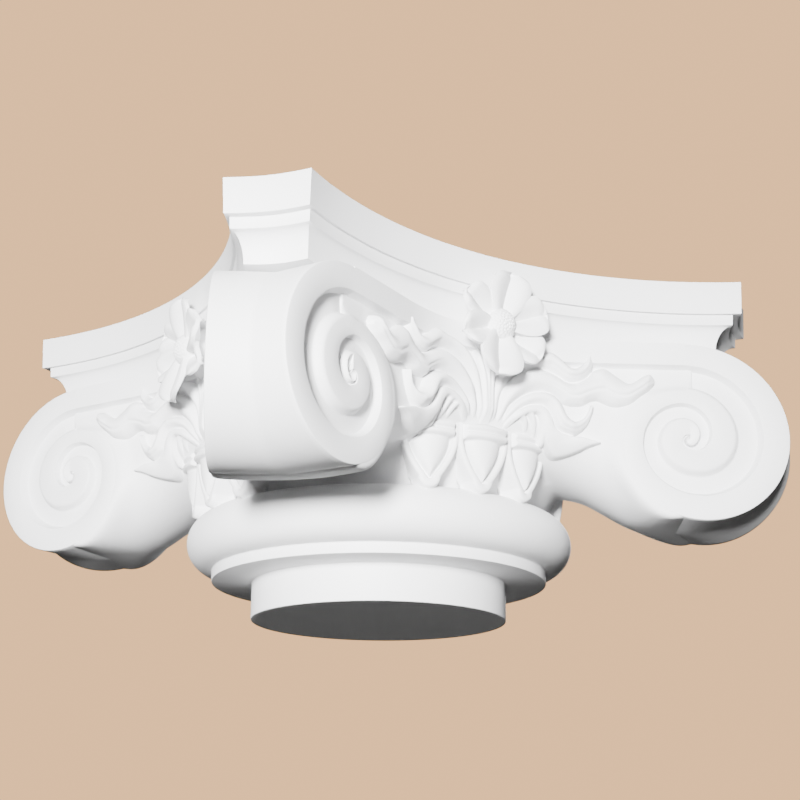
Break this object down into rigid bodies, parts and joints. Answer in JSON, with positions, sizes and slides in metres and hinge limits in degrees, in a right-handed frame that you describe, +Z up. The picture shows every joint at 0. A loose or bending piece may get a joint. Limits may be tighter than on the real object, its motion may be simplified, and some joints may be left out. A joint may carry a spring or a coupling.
{
  "type": "column capital",
  "caption": "Ionic column capital with diagonal volutes, a hollow-sided moulded abacus, leaves, eggs and flowers on each side, and a turned torus above a spigot.",
  "frame": {"origin": "middle of the flat underside of the spigot, on the column's axis", "axes": "+Z up along the column's axis; the hollow sides of the abacus face X and Y, and the volutes stand on the diagonals"},
  "size_m": [0.5364, 0.5364, 0.271],
  "materials": {
    "casting": "matt white, as cast and primed"
  },
  "bodies": {
    "root": {"capital": "casting"}
  },
  "joints": []
}
